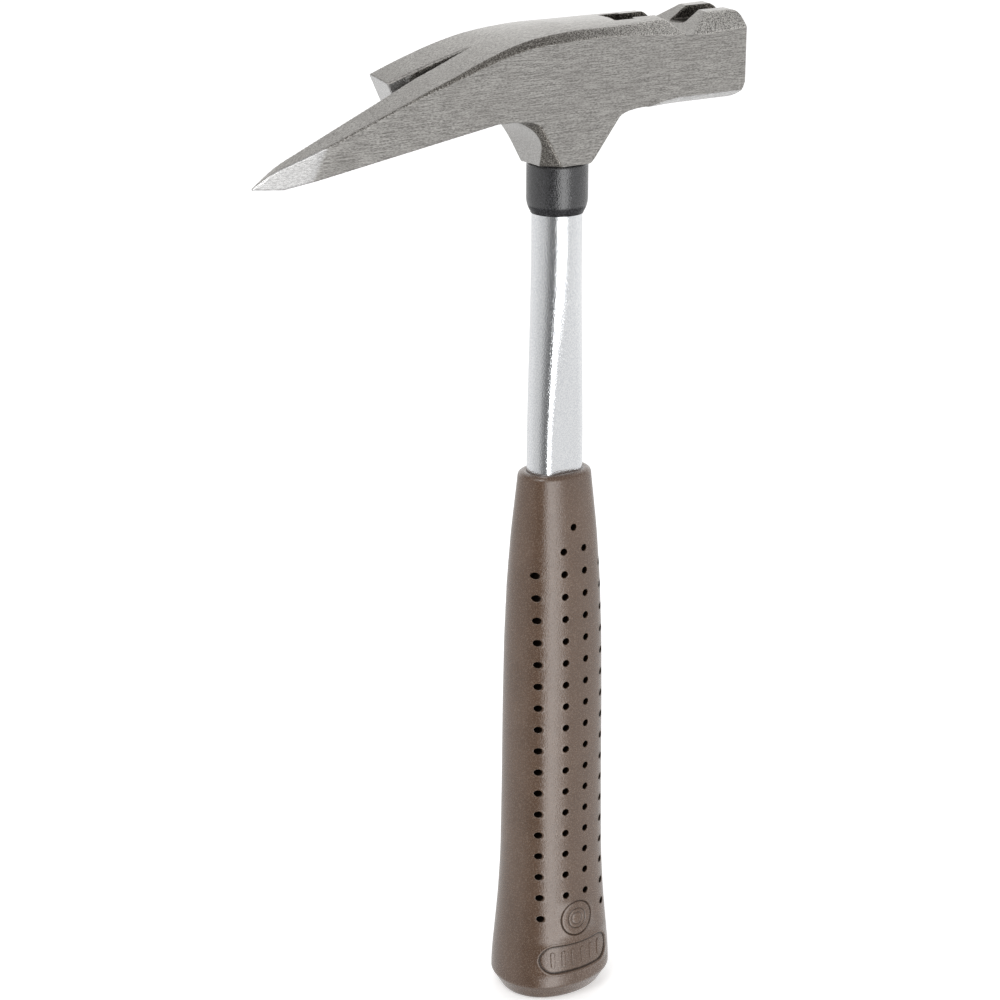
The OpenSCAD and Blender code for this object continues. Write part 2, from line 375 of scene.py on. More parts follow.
def slot(x, y, z):
    """The tapered nail slot between the prongs."""
    wide = SLOT_HALF * (SLOT_X - x) / SLOT_LENGTH + 0.15
    return np.maximum(np.abs(y) - wide, x - SLOT_X)


def eye(x, y, z):
    """The blind eye that holds the tube, a little wider at its end."""
    radius = TUBE_R + EYE_FLARE * np.clip((z - FLARE_Z) / (EYE_TOP_Z - FLARE_Z), 0, 1)
    return np.maximum(np.hypot(x, y) - radius, z - EYE_TOP_Z)


def prong_end(x, z):
    """The short prong's end face, which slants in towards its foot."""
    lean = math.radians(25)
    return -math.cos(lean) * (x - PRONG_X) - math.sin(lean) * (z - PRONG_EDGE_Z - 5.5)


def head_field(x, y, z):
    """The head as a distance field, negative in the steel."""
    solid = both(outline_distance(x, z, LOWER), np.abs(y) - HALF, 0.5)
    solid = both(solid, np.minimum(prong_end(x, z), outline_distance(x, y, SPIKE)), 0.35)
    solid = both(solid, tip_facet(x, y, z), 0.5)
    solid = both(solid, (z - back_height(x, y)) * 0.93 - 6 * smooth_step(x, 36, 42), 0.35)
    solid = both(solid, top_bevel(x, y, z), 0.3)
    solid = both(solid, low_bevel(x, y, z), 0.3)
    solid = both(solid, outline_distance(x, z - RIDGE_TILT * y, RIDGES), 0.6)
    solid = both(solid, neck_side(x, y, z), 0.3)
    solid = both(solid, neck_corner(x, y, z), 0.5)
    solid = without(solid, nail_holder(x, y, z), 0.3)
    solid = without(solid, magnet_seat(x, y, z), 0.1)
    solid = without(solid, slot(x, y, z), 0.3)
    return without(solid, eye(x, y, z), 0.2)


def head_marks(x, y, z):
    """How rough each spot is: forged skin on the bevels and in the cuts, ground steel elsewhere. The
    cuts also carry painted shade: the nail holder is painted dark, and the slot's wall darkens towards
    its blind end.
    """
    def near(distance, band=0.45):
        return 1 - smooth_step(np.abs(distance), 0.1, band)

    bevels = near(top_bevel(x, y, z)) * (0.55 + 0.45 * smooth_step(x, -75, -25))
    facets = near(neck_corner(x, y, z), 0.6) * (1 - smooth_step(np.abs(x), 23, NECK_END[0]))
    prong = near(prong_end(x, z), 0.3) * smooth_step(y, -2.6, -1.6)
    neck = smooth_step(-x, 9.5, 10.2) * smooth_step(-x, 27, 18) * (1 - smooth_step(np.abs(y), 9, 10))
    neck = neck * smooth_step(z, POLL_Z + 1, POLL_Z - 1)
    tip = near(tip_facet(x, y, z), 0.4) * smooth_step(facet_run(x, z), -1.5, 4)
    # painted shade: the slot's wall is marked rough, so painted dark, towards its narrow blind end,
    # partly for its forged skin and partly for the shade there; towards the mouth it is marked ground,
    # so light
    wall = near(slot(x, y, z), 0.3) * smooth_step(back_height(x, y) - z, 0.3, 0.8)
    mouth = smooth_step(-x, 46, 60)
    low = near(low_bevel(x, y, z))
    return {
        "rough": np.maximum.reduce([bevels, facets, wall * (1 - mouth)]),
        # painted shade: the nail holder's groove and pocket
        "deep": near(nail_holder(x, y, z)),
        "ground": np.maximum.reduce([tip, prong, neck * 0.5, wall * mouth, low * 0.8]),
    }


def make_head():
    cell = (0.62, 0.42, 0.42)
    return mesh_of_field("hammer_head", head_field, head_low, head_high, cell, head_marks)


# ---------------------------------------------------------------- grip

OVAL_X = 3.45                       # the flattened tube: centre of its end rounding
OVAL_R = 6.1
PITCH = 7.7                         # distance between two rows of holes
HOLE_R = 1.2
HOLE_ROWS = 18                      # rows below the single top hole
TOP_HOLE_Z = grip_high[2] - 17
INNER_X = 3.96                      # the two columns of holes on each half of a broad face
OUTER_X = 12.63
INNER_FLOOR = OVAL_R + 1.2          # distance of their floors from the handle's plane
OUTER_FLOOR = 3.4
BLOCK = 2.0                         # half of the square patch that holds one hole
BLOCK_STEPS = 5                     # grid steps along one side of that patch
END_X = 3.87                        # centre of the section's end rounding
BROAD_Y = 9.67                      # centre of the broad face's radius, on the far side
BROAD_R = 10.42                     # broad face's radius, beyond the end rounding
RIM_Z = grip_high[2] + 0.3
TUBE_FOOT_Z = tube_low[2]
# height and radius of the end rounding; the section is smoothed over SMOOTHING each way
PROFILE = [(0, 17.2), (10, 17.2), (22, 16.1), (34, 15.0), (49, 14.15), (75, 13.75), (105, 13.5),
           (128, 13.1), (148, 12.3), (166, 11.0), (178, 9.7), (190, 8.4)]
SMOOTHING = 7
BEVEL_Z = 6.3                       # top of the butt's bevel
RIM_ROUND = 1.6                     # height of the rim's rounding
BADGE_Z = 29.9
BADGE_R = 6.3
BADGE_FOOT = BADGE_Z - BADGE_R - 0.5
LABEL_Z = 16.0
LABEL_HALF = (14.4, 5.6)
LABEL_REACH = 7                     # half the height of the patch that holds the label
LABEL_STEPS = 12


def end_radius(z):
    """Radius of the section's end rounding at a height, as a smoothed profile."""
    heights, radii = zip(*PROFILE)
    spread = np.linspace(-SMOOTHING, SMOOTHING, 2 * SMOOTHING + 1)
    weights = np.cos(spread / (2 * SMOOTHING) * math.pi)
    near = [w * np.interp(z + s, heights, radii) for s, w in zip(spread, weights)]
    return sum(near) / weights.sum()


def broad_face(x, z, radius=None):
    """How far the surface stands from the handle's plane at a place seen from the front."""
    r = end_radius(z) if radius is None else radius
    flat = np.abs(x) < END_X + r * END_X / BROAD_R
    middle = np.sqrt(np.maximum((r + BROAD_R) ** 2 - x ** 2, 0)) - BROAD_Y
    end = np.sqrt(np.maximum(r ** 2 - (np.abs(x) - END_X) ** 2, 0))
    return np.where(flat, middle, end)


def columns():
    """Where the grid's lines cross the broad face, at its widest."""
    edge = OUTER_X + BLOCK
    right = between(INNER_X - BLOCK, INNER_X + BLOCK, BLOCK_STEPS)
    right += between(INNER_X + BLOCK, OUTER_X - BLOCK, 4) + between(OUTER_X - BLOCK, edge, BLOCK_STEPS)
    inner = INNER_X - BLOCK
    middle = [-inner] + between(-inner, inner, BLOCK_STEPS)
    return [-x for x in right[::-1]] + middle + right


COLUMNS = columns()
CAP_STEPS = 18


def ring_of_grip(z, radius):
    """One closed ring: near face left to right, right end, far face back, left end."""
    edge = COLUMNS[-1]
    wide = 0.93 * (radius + END_X)
    low = edge + (0.86 * (radius + END_X) - edge) * smooth_step(z, 28.4, 23.8)
    limit = min(max(edge, low), wide)
    xs = np.array(COLUMNS) * limit / edge
    ys = broad_face(xs, z, radius)
    turn = math.acos((limit - END_X) / radius)
    angles = np.linspace(-turn, turn, CAP_STEPS + 1)[1:-1]
    cap = np.stack([END_X + radius * np.cos(angles), radius * np.sin(angles)], 1)
    near = np.stack([xs, -ys], 1)
    return np.concatenate([near, cap, -near, -cap])


def rows():
    """Heights of the grid's rings, with the hole, badge and label patches between them."""
    top = TOP_HOLE_Z + BLOCK
    low, high = LABEL_Z - LABEL_REACH, LABEL_Z + LABEL_REACH
    heights = [BEVEL_Z, 7.2, 8.1, low] + between(low, high, LABEL_STEPS) + [BADGE_FOOT]
    last = TOP_HOLE_Z - HOLE_ROWS * PITCH
    heights += between(heights[-1], last - BLOCK, 5)
    for row in range(HOLE_ROWS, -1, -1):
        z = TOP_HOLE_Z - row * PITCH
        heights += between(z - BLOCK, z + BLOCK, BLOCK_STEPS)
        if row:
            heights += between(z + BLOCK, z + PITCH - BLOCK, 3)
    return heights + between(top, RIM_Z - RIM_ROUND, 8)


class Grid:
    """Vertices and faces of the grip, built ring by ring and patch by patch."""

    def __init__(self):
        self.vertices = []
        self.faces = []
        self.shade = []

    def add(self, points, shade=0.0):
        first = len(self.vertices)
        self.vertices += [tuple(p) for p in points]
        self.shade += [shade] * len(points)
        return list(range(first, len(self.vertices)))

    def bridge(self, a, b):
        for i in range(len(a)):
            j = (i + 1) % len(a)
            self.faces.append((a[i], a[j], b[j], b[i]))


def loop_of(z_index, column, z_steps, column_steps, ids):
    """Vertex numbers round a rectangular patch of the grid, from its right middle, counterclockwise."""
    low, high = z_index, z_index + z_steps
    left, right = column, column + column_steps
    path = [ids[low][c] for c in range(left, right)] + [ids[r][right] for r in range(low, high)]
    path += [ids[high][c] for c in range(right, left, -1)] + [ids[r][left] for r in range(high, low, -1)]
    start = column_steps + z_steps // 2
    return path[start:] + path[:start]


def rounded_outline(count, start, half_u, half_v):
    """Points spaced evenly round an outline with round ends, from its right middle. start is a share."""
    straight = half_u - half_v
    length = 4 * straight + 2 * math.pi * half_v
    points = []
    for k in range(count):
        s = ((k / count + start) % 1) * length
        quarter = math.pi * half_v / 2
        if s < quarter:
            a = s / half_v
            points.append((straight + half_v * math.cos(a), half_v * math.sin(a)))
        elif s < quarter + 2 * straight:
            points.append((straight - (s - quarter), half_v))
        elif s < 3 * quarter + 2 * straight:
            a = math.pi / 2 + (s - quarter - 2 * straight) / half_v
            points.append((-straight + half_v * math.cos(a), half_v * math.sin(a)))
        elif s < 3 * quarter + 4 * straight:
            points.append((-straight + (s - 3 * quarter - 2 * straight), -half_v))
        else:
            a = -math.pi / 2 + (s - 3 * quarter - 4 * straight) / half_v
            points.append((straight + half_v * math.cos(a), half_v * math.sin(a)))
    return points


def nearest_start(outer, centre, half_u, half_v):
    """Share of the outline at which its points line up with the patch's edge."""
    first = np.array(outer[0]) - centre
    options = np.linspace(-0.05, 0.05, 41)
    def gap(share):
        u, v = rounded_outline(len(outer), share, half_u, half_v)[0]
        return abs(math.atan2(v, u) - math.atan2(first[1], first[0]))
    return min(options, key=gap)


def patch(grid, loop, side, centre, half, profile, deep=None):
    """Fills a patch of the grip with rings that follow an outline. profile is (inset, sink, shade),
    and deep is the distance from the handle's plane at which a hole's floor lies."""
    outer = [(grid.vertices[v][0] * side, grid.vertices[v][2]) for v in loop]
    start = nearest_start(outer, np.array(centre), *half)
    last = loop
    for inset, sink, shade in profile:
        ring = rounded_outline(len(loop), start, half[0] - inset, half[1] - inset)
        points = []
        for u, v in ring:
            x, z = centre[0] + u, centre[1] + v
            y = broad_face(x, z) - sink
            if deep is not None and sink > 2:
                y = deep
            points.append((x * side, -y * side, z))
        ids = grid.add(points, shade)
        grid.bridge(last, ids)
        last = ids
    close_patch(grid, last)


def raised_bar(grid, x, z, half_u, half_v):
    """A small closed rib that stands on the label's floor."""
    points_round = 24
    loops = []
    for inset, sink in ((0, 0.8), (0, 0.22), (0.12, 0.1), (0.3, 0.08)):
        ring = rounded_outline(points_round, 0, half_v - inset, half_u - inset)
        points = [(x - v, -(broad_face(x - v, z + u) - sink), z + u) for u, v in ring]
        # the rib's foot is painted a little dark, as painted shade
        loops.append(grid.add(points, 0.25 if sink > 0.2 else 0.0))
    for a, b in zip(loops, loops[1:]):
        grid.bridge(a, b)
    close_patch(grid, loops[0][::-1])
    close_patch(grid, loops[-1])


def close_patch(grid, ring):
    """Closes the last ring of a patch by pairing its upper and lower points."""
    count = len(ring)
    for i in range(count // 2):
        a, b = ring[i], ring[(i + 1) % count]
        c, d = ring[(-i - 1) % count], ring[(-i) % count]
        face = list(dict.fromkeys((a, b, c, d)))
        if len(face) > 2:
            grid.faces.append(tuple(face))


# the reliefs go inwards from an outline: distance from it, depth below the surface, and painted shade,
# which darkens the colour in holes and grooves
HOLE_LIP = [(-0.5, 0, 0), (-0.3, -0.05, 0), (-0.12, -0.05, 0), (0.0, 0.08, 0), (0.06, 0.3, 0.8),
            (0.1, 0.9, 1), (0.12, 3.0, 1)]
BADGE_RELIEF = [
    (-0.5, 0, 0), (-0.3, -0.1, 0), (-0.1, -0.1, 0), (0.02, 0.1, 0.3), (0.12, 0.42, 0.7),
    (0.32, 0.42, 0.7), (0.45, 0.12, 0.1), (0.65, 0.0, 0), (1.3, -0.06, 0), (2.2, -0.08, 0),
    (2.62, -0.06, 0), (2.72, 0.2, 0.55), (2.9, 0.2, 0.55), (3.0, -0.05, 0), (3.9, -0.1, 0),
    (4.1, 0.12, 0.4), (4.25, 0.12, 0.4), (4.4, -0.08, 0), (5.2, -0.1, 0), (5.9, -0.1, 0)]
LABEL_FLOOR = [(inset, 0.34, 0) for inset in (1.5, 2.2, 2.9, 3.6, 4.3, 5.0, 5.5)]
LABEL_RELIEF = [
    (-0.75, 0, 0), (-0.35, -0.02, 0), (-0.15, -0.2, 0), (0.1, -0.24, 0), (0.3, -0.1, 0),
    (0.5, 0.05, 0.1), (0.62, 0.3, 0.75), (0.95, 0.5, 0.8), (1.2, 0.38, 0.25)] + LABEL_FLOOR
LABEL_BARS = 6                      # plain ribs on the label's floor
LABEL_BAR_HALF = (0.75, 2.9)


def hole_places():
    """Where the holes stand on one broad face: across and height, from the top row down."""
    for row in range(HOLE_ROWS + 1):
        places = [0] if row == 0 else []
        places += [-INNER_X, INNER_X] if 0 < row < HOLE_ROWS else []
        places += [-OUTER_X, OUTER_X] if row > 1 else []
        for x in places:
            yield x, TOP_HOLE_Z - row * PITCH


def grip_mesh(grid):
    """The grip's object, with its painted shade for the material and its faces turned outwards."""
    piece = make_mesh("hammer_grip", grid.vertices, grid.faces)
    layer = piece.data.attributes.new("shade", "FLOAT", "POINT")
    layer.data.foreach_set("value", grid.shade)
    cleaned = bmesh.new()
    cleaned.from_mesh(piece.data)
    loose = [v for v in cleaned.verts if not v.link_faces]
    bmesh.ops.delete(cleaned, geom=loose, context="VERTS")
    bmesh.ops.recalc_face_normals(cleaned, faces=cleaned.faces)
    cleaned.to_mesh(piece.data)
    cleaned.free()
    return piece


def make_grip():
    """The whole grip: rings up the handle, with patches for the holes, the badge and the label."""
    grid = Grid()
    heights = rows()
    ids = []
    for z in heights:
        ring = ring_of_grip(z, end_radius(z))
        ids.append(grid.add([(x, y, z) for x, y in ring]))
    count = len(ids[0])
    near_columns = len(COLUMNS)
    far_start = near_columns + CAP_STEPS - 1
    taken = set()
    patches = []

    def column_at(x):
        return int(np.argmin(np.abs(np.array(COLUMNS) - x)))

    def row_at(z):
        return int(np.argmin(np.abs(np.array(heights) - z)))

    def claim(z, x, half_x, z_steps, column_steps, side, job):
        row = row_at(z)
        column = column_at(x - half_x) + (0 if side == 1 else far_start)
        for r in range(row, row + z_steps):
            for c in range(column, column + column_steps):
                taken.add((r, c))
        patches.append((loop_of(row, column, z_steps, column_steps, ids), side, job))

    for side in (1, -1):
        for x, z in hole_places():
            floor = OUTER_FLOOR if abs(x) == OUTER_X else INNER_FLOOR
            job = ((x, z), (HOLE_R, HOLE_R), HOLE_LIP, floor)
            half_x = BLOCK if x else INNER_X - BLOCK
            claim(z - BLOCK, x, half_x, BLOCK_STEPS, BLOCK_STEPS, side, job)
    low = row_at(BADGE_FOOT)
    high = row_at(TOP_HOLE_Z - (HOLE_ROWS - 1) * PITCH - BLOCK)
    half_x = COLUMNS[column_at(INNER_X + BLOCK) + 2]
    width = column_at(half_x) - column_at(-half_x)
    claim(heights[low], 0, half_x, high - low, width, 1,
          ((0, BADGE_Z), (BADGE_R, BADGE_R), BADGE_RELIEF, None))
    claim(LABEL_Z - LABEL_REACH, 0, COLUMNS[-1], LABEL_STEPS, near_columns - 1, 1,
          ((0, LABEL_Z), LABEL_HALF, LABEL_RELIEF, None))

    for r in range(len(ids) - 1):
        for c in range(count):
            if (r, c) not in taken:
                d = (c + 1) % count
                grid.faces.append((ids[r][c], ids[r][d], ids[r + 1][d], ids[r + 1][c]))
    for loop, side, (centre, half, profile, floor) in patches:
        patch(grid, loop, side, centre, half, profile, floor)
    close_rim(grid, ids[-1])
    close_butt(grid, ids[0])
    for x in np.linspace(-9.5, 9.5, LABEL_BARS):
        raised_bar(grid, x, LABEL_Z, *LABEL_BAR_HALF)
    return grip_mesh(grid)


def oval_ring(ring, grow):
    """The flattened tube's outline, with one point for each point of a grip ring."""
    points = []
    for x, y in ring:
        angle = math.atan2(y, math.copysign(max(abs(x) - OVAL_X, 0.0), x)) if abs(x) > OVAL_X else None
        if angle is None:
            points.append((x, math.copysign(OVAL_R + grow, y)))
        else:
            r = OVAL_R + grow
            points.append((math.copysign(OVAL_X, x) + r * math.cos(angle), r * math.sin(angle)))
    return points


def close_rim(grid, last):
    """The rounded upper rim, the wall against the tube and the cavity's floor."""
    radius = end_radius(RIM_Z - RIM_ROUND)
    for inset, drop in ((0.12, 1.15), (0.35, 0.75), (0.75, 0.4), (1.3, 0.15), (1.9, 0)):
        z = RIM_Z - drop
        ring = ring_of_grip(z, radius - inset)
        ids = grid.add([(x, y, z) for x, y in ring])
        grid.bridge(last, ids)
        last = ids
    for grow, drop in ((0.45, 0.05), (0.12, 0.3), (0.03, 1.0), (0.02, 60), (0.02, RIM_Z - TUBE_FOOT_Z)):
        z = RIM_Z - drop
        ids = grid.add([(x, y, z) for x, y in oval_ring(ring, grow)])
        grid.bridge(last, ids)
        last = ids
    grid.faces.append(tuple(last))


def close_butt(grid, last):
    """The bevel round the butt and the butt's flat face."""
    top = end_radius(BEVEL_Z)
    bevel = ((0.25, 5.7), (0.75, 5.1), (2.7, 1.7), (3.2, 0.9), (3.7, 0.35), (4.3, 0.06))
    flat = ((5.2, 0), (8, 0), (11, 0))
    for inset, z in bevel + flat:
        ring = ring_of_grip(z, top - inset)
        ids = grid.add([(x, y, z) for x, y in ring])
        grid.bridge(last, ids)
        last = ids
    grid.faces.append(tuple(last[::-1]))


# ---------------------------------------------------------------- tube, collar and magnet

def lathe(name, profile, segments=96):
    """A closed ring or disc turned about the handle's axis. profile is (radius, height) pairs."""
    grid = Grid()
    loops = []
    for radius, z in profile:
        angles = np.linspace(0, 2 * math.pi, segments, endpoint=False)
        loops.append(grid.add([(radius * math.cos(a), radius * math.sin(a), z) for a in angles]))
    for a, b in zip(loops, loops[1:] + loops[:1]):
        grid.bridge(a, b)
    return make_mesh(name, grid.vertices, grid.faces)


ROUND_Z = 262                       # the tube is round above this height
FLAT_Z = 190                        # and fully flattened below this one
TUBE_WALL = 1.5


def tube_outline(z, wall, segments=128):
    """The tube's section at a height: round above, flattened with hollow broad faces below."""
    flat = smooth_step(z, ROUND_Z, FLAT_Z)
    points = []
    for a in np.linspace(0, 2 * math.pi, segments, endpoint=False):
        c, s = math.cos(a), math.sin(a)
        swell = EYE_FLARE * min(max((z - FLARE_Z) / (EYE_TOP_Z - FLARE_Z), 0), 1)
        round_x, round_y = (TUBE_R + swell - wall) * c, (TUBE_R + swell - wall) * s
        span = min(max(c / 0.5, -1), 1)
        oval_x = (OVAL_R - wall) * c + OVAL_X * span
        hollow = 0.12 * (1 - span * span)
        top = math.copysign(min(abs(s), 0.92) / 0.92, s)
        oval_y = (OVAL_R - wall) * top - math.copysign(hollow, s) * flat
        points.append((round_x + (oval_x - round_x) * flat, round_y + (oval_y - round_y) * flat, z))
    return points


def make_tube():
    """The tube with its wall, from the stopper up to the eye's blind end."""
    grid = Grid()
    heights = list(np.linspace(TUBE_FOOT_Z, 186, 12)) + list(np.linspace(188, 264, 77))
    heights += list(np.linspace(270, EYE_TOP_Z, 12))
    loops = [grid.add(tube_outline(z, 0)) for z in heights]
    loops += [grid.add(tube_outline(z, TUBE_WALL)) for z in heights[::-1]]
    for a, b in zip(loops, loops[1:] + loops[:1]):
        grid.bridge(a, b)
    return make_mesh("hammer_tube", grid.vertices, grid.faces)


def make_collar():
    """The collar: a straight upper part, and a lower part that curves in to the tube."""
    outer = collar_high[0]
    curve = 8.4
    top, low = NECK_Z - 0.25, collar_low[2] + 0.3
    bore = TUBE_R + 0.02
    profile = [(bore, top), (bore, low + 0.3), (bore + 0.1, low + 0.08), (bore + 0.33, low)]
    profile += arc(outer - curve, low + 4.8, curve, -33, 0, 8)
    profile += [(outer, top - 8), (outer, top - 1.0)]
    profile += [(outer - inset, top - drop) for inset, drop in ((0.07, 0.55), (0.28, 0.22), (0.6, 0.02))]
    return lathe("hammer_collar", profile)


# ---------------------------------------------------------------- materials

class Paint:
    """A node material with short calls for the nodes that are used here."""

    def __init__(self, name):
        self.material = bpy.data.materials.new(name)
        self.material.use_nodes = True
        self.tree = self.material.node_tree
        self.shader = self.tree.nodes["Principled BSDF"]
        self.place = self.node("ShaderNodeTexCoord").outputs["Object"]

    def node(self, kind, inputs=(), **settings):
        made = self.tree.nodes.new(kind)
        for key, value in settings.items():
            setattr(made, key, value)
        for key, value in dict(inputs).items():
            self.put(made.inputs[key], value)
        return made

    def put(self, socket, value):
        if isinstance(value, bpy.types.NodeSocket):
            self.tree.links.new(value, socket)
        else:
            socket.default_value = value

    def set(self, key, value):
        self.put(self.shader.inputs[key], value)

    def noise(self, size, detail=2.0, stretch=(1, 1, 1), rough=0.5):
        """Noise whose features are about size millimetres wide, times stretch along each axis."""
        scale = [1 / (size * MM * s) for s in stretch]
        spread = self.node("ShaderNodeMapping", {"Vector": self.place, "Scale": scale})
        made = self.node("ShaderNodeTexNoise", {"Vector": spread.outputs[0], "Scale": 1.0,
                                                "Detail": detail, "Roughness": rough})
        return made.outputs["Fac"]

    def sum(self, operation, a, b=0.0, clamp=False):
        made = self.node("ShaderNodeMath", {0: a, 1: b}, operation=operation, use_clamp=clamp)
        return made.outputs[0]

    def band(self, value, low, high, start=0.0, end=1.0):
        """value from low to high becomes start to end, smoothly and clamped."""
        made = self.node("ShaderNodeMapRange", {0: value, 1: low, 2: high, 3: start, 4: end},
                         interpolation_type="SMOOTHSTEP")
        return made.outputs[0]

    def blend(self, share, a, b):
        """Colour a where share is 0, and b where it is 1."""
        made = self.node("ShaderNodeMix", data_type="RGBA")
        self.put(made.inputs[0], share)
        for socket, value in ((made.inputs[6], a), (made.inputs[7], b)):
            self.put(socket, (*value, 1) if isinstance(value, tuple) else value)
        return made.outputs[2]

    def number(self, share, a, b):
        made = self.node("ShaderNodeMix", {0: share, 2: a, 3: b}, data_type="FLOAT")
        return made.outputs[0]

    def across(self, axis):
        """The place along one axis, in metres."""
        made = self.node("ShaderNodeSeparateXYZ", {0: self.place})
        return made.outputs[axis]

    def mark(self, name):
        return self.node("ShaderNodeAttribute", attribute_name=name).outputs["Fac"]

    def bump(self, height, depth, below=None):
        """A bump whose full height is depth millimetres."""
        made = self.node("ShaderNodeBump", {"Height": height, "Distance": depth * MM, "Strength": 1.0})
        if below is not None:
            self.put(made.inputs["Normal"], below)
        return made.outputs["Normal"]


def forged_steel():
    """Steel ground along X, with a rough forged skin on the bevels and light ground facets. Painted
    highlights: the skin's pits turn to glints towards the poll. Painted shade: the nail holder is
    painted near black.
    """
    paint = Paint("forged_steel")
    long_grain = paint.noise(0.24, 2, (28, 1, 1))
    fine_grain = paint.noise(0.21, 2, (5, 1, 1), 0.7)
    cloud = paint.noise(9, 2)
    grain = paint.sum("MULTIPLY", fine_grain, 0.58)
    grain = paint.sum("ADD", paint.sum("MULTIPLY", long_grain, 0.42), grain)
    ragged = paint.sum("MULTIPLY", paint.sum("SUBTRACT", paint.noise(0.5, 3), 0.5), 1.1)
    skin = paint.band(paint.sum("ADD", paint.mark("rough"), ragged), 0.35, 0.65)
    polished = paint.sum("ADD", paint.mark("ground"), paint.sum("MULTIPLY", ragged, 0.3))
    polished = paint.band(polished, 0.3, 0.8)
    pits = paint.noise(0.42, 3, rough=0.65)
    steel = paint.blend(paint.band(grain, 0.39, 0.61), (0.22, 0.211, 0.20), (0.54, 0.525, 0.50))
    steel = paint.blend(paint.band(cloud, 0.35, 0.7, 0.0, 0.25), steel, (0.30, 0.285, 0.27))
    ground = paint.blend(paint.band(grain, 0.4, 0.6), (0.50, 0.495, 0.49), (0.74, 0.735, 0.73))
    steel = paint.blend(polished, steel, ground)
    forged = paint.blend(paint.band(pits, 0.40, 0.68), (0.09, 0.082, 0.073), (0.38, 0.36, 0.33))
    # painted highlight: glinting pits on the forged skin, mixed in more towards the poll
    painted_glints = paint.blend(paint.band(pits, 0.36, 0.6), (0.16, 0.152, 0.14), (0.84, 0.82, 0.785))
    glints_to_poll = paint.band(paint.across(0), -20 * MM, 40 * MM, 0, 0.75)
    forged = paint.blend(glints_to_poll, forged, painted_glints)
    # painted shade: where the deep mark is, the nail holder is painted near black
    dark = paint.blend(paint.band(pits, 0.4, 0.7), (0.03, 0.027, 0.024), (0.30, 0.28, 0.25))
    deep = paint.band(paint.sum("ADD", paint.mark("deep"), ragged), 0.35, 0.65)
    paint.set("Base Color", paint.blend(deep, paint.blend(skin, steel, forged), dark))
    paint.set("Metallic", 1.0)
    smooth = paint.number(polished, paint.band(grain, 0.3, 0.7, 0.30, 0.44), 0.24)
    paint.set("Roughness", paint.number(skin, smooth, 0.42))
    scratch = paint.bump(grain, 0.03)
    paint.set("Normal", paint.bump(paint.sum("MULTIPLY", pits, skin), 0.16, scratch))
    return paint.material


def plated_steel():
    """Satin plating with a fine grain."""
    paint = Paint("plated_steel")
    speck = paint.noise(0.38, 0, (1, 1, 1.3))
    fine = paint.noise(0.22, 2, (1, 1, 3))
    tone = paint.blend(paint.band(speck, 0.3, 0.7), (0.77, 0.785, 0.81), (0.87, 0.88, 0.89))
    paint.set("Base Color", tone)
    paint.set("Metallic", 1.0)
    paint.set("Roughness", paint.band(fine, 0.3, 0.7, 0.2, 0.27))
    paint.set("Normal", paint.bump(speck, 0.06))
    return paint.material


def black_plastic():
    """Satin black moulding with a fine erosion grain."""
    paint = Paint("black_plastic")
    grain = paint.noise(0.36, 3, rough=0.65)
    tone = paint.blend(paint.band(grain, 0.42, 0.68), (0.012, 0.012, 0.013), (0.060, 0.060, 0.066))
    paint.set("Base Color", tone)
    paint.set("Roughness", paint.band(grain, 0.3, 0.7, 0.22, 0.32))
    dull, glossy = (collar_low[2] + 2.5) * MM, (collar_low[2] + 3.4) * MM
    paint.set("Specular IOR Level", paint.band(paint.across(2), dull, glossy, 0.1, 0.95))
    paint.set("Normal", paint.bump(paint.noise(0.38, 0), 0.08))
    return paint.material


def brown_plastic():
    """Satin brown moulding with a fine leather-like grain, and painted shade: near black in the holes
    and dark in the grooves.
    """
    paint = Paint("brown_grip")
    grain = paint.noise(0.42, 3, rough=0.65)
    cloud = paint.noise(14, 2)
    tone = paint.blend(paint.band(cloud, 0.3, 0.7), (0.083, 0.044, 0.023), (0.100, 0.056, 0.032))
    tone = paint.blend(paint.band(grain, 0.48, 0.68, 0.0, 0.45), tone, (0.25, 0.18, 0.135))
    # painted shade: the holes are painted near black and the badge's and label's grooves dark, with
    # little gloss
    shade = paint.mark("shade")
    paint.set("Base Color", paint.blend(shade, tone, (0.006, 0.004, 0.003)))
    paint.set("Roughness", paint.band(grain, 0.3, 0.7, 0.21, 0.30))
    paint.set("Specular IOR Level", paint.number(shade, 0.95, 0.1))
    paint.set("Normal", paint.bump(paint.noise(0.38, 0), 0.07))
    return paint.material


def magnet_metal():
    """Dark, dull magnet."""
    paint = Paint("magnet")
    grain = paint.noise(0.4, 3)
    paint.set("Base Color", paint.blend(grain, (0.05, 0.05, 0.052), (0.12, 0.12, 0.122)))
    paint.set("Metallic", 0.7)
    paint.set("Roughness", paint.band(grain, 0.3, 0.7, 0.4, 0.6))
    paint.set("Normal", paint.bump(grain, 0.02))
    return paint.material


def plain_steel():
    """Turned steel of the wedge."""
    paint = Paint("plain_steel")
    grain = paint.noise(0.4, 3, (1, 1, 6))
    paint.set("Base Color", paint.blend(grain, (0.34, 0.34, 0.35), (0.5, 0.5, 0.51)))
    paint.set("Metallic", 1.0)
    paint.set("Roughness", paint.band(grain, 0.3, 0.7, 0.3, 0.45))
    paint.set("Normal", paint.bump(grain, 0.01))
    return paint.material


def pale_floor():
    """Plain pale floor, which glows a little."""
    paint = Paint("pale_floor")
    paper = paint.noise(3, 2)
    paint.set("Base Color", paint.blend(paper, (0.90, 0.90, 0.90), (0.92, 0.92, 0.92)))
    paint.set("Roughness", 0.9)
    paint.set("Specular IOR Level", 0.1)
    paint.set("Emission Color", (1, 1, 1, 1))
    paint.set("Emission Strength", FLOOR_GLOW)
    return paint.material


def paint_piece(piece, material):
    """Gives a piece one material."""
    piece.data.materials.clear()
    piece.data.materials.append(material)


# ---------------------------------------------------------------- camera, studio and floor

